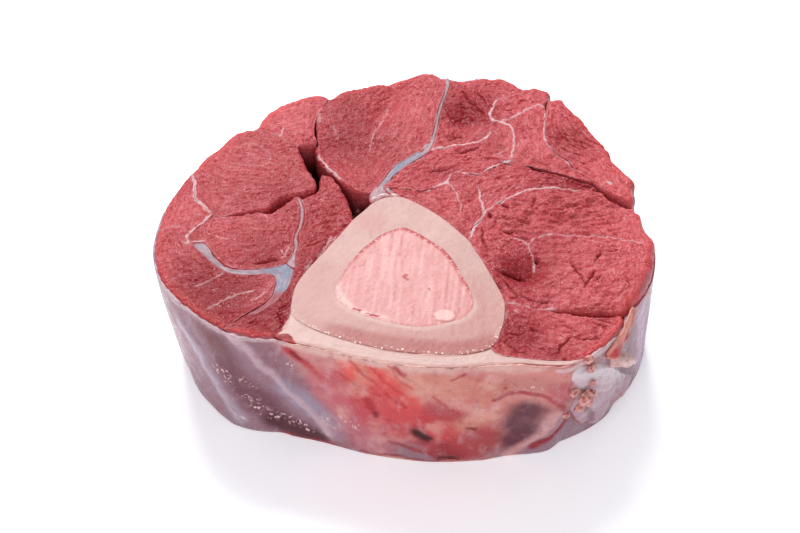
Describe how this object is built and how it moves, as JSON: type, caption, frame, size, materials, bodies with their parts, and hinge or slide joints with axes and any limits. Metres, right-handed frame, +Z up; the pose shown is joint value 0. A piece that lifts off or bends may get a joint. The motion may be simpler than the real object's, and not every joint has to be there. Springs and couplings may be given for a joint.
{
  "type": "raw beef shank",
  "caption": "Thick raw slice sawn across a beef shin: marrow bone near one side, muscles round it parted by white seams, membrane on the wall.",
  "frame": {"origin": "on the surface that the slice lies on, under the middle of its bounding box", "axes": "+Z up, out of the sawn face; +X across the slice's widest way, with the bone's side at -Y"},
  "size_m": [0.1353, 0.1184, 0.0391],
  "materials": {
    "bone": "matt, sawn",
    "marrow": "moist, open-grained",
    "meat": "moist raw meat",
    "sheath": "moist white sheath",
    "membrane": "moist, thin",
    "fat": "soft, waxy"
  },
  "bodies": {
    "root": {"bone": "bone", "marrow": "marrow", "flank_muscle": "meat", "upper_left_muscle": "meat", "inner_left_muscle": "meat", "wedge_muscle": "meat", "small_rear_muscle": "meat", "rear_muscle": "meat", "right_upper_muscle": "meat", "right_mid_muscle": "meat", "outer_right_muscle": "meat", "right_muscle": "meat", "front_right_muscle": "meat", "tendon_sheath": "sheath", "rear_sheath": "sheath", "shin_sheath": "sheath", "vessel_fat": "fat", "loose_membrane": "membrane", "torn_fascia": "membrane", "side_fat_scrap": "fat", "front_fat_scrap": "fat"}
  },
  "joints": []
}
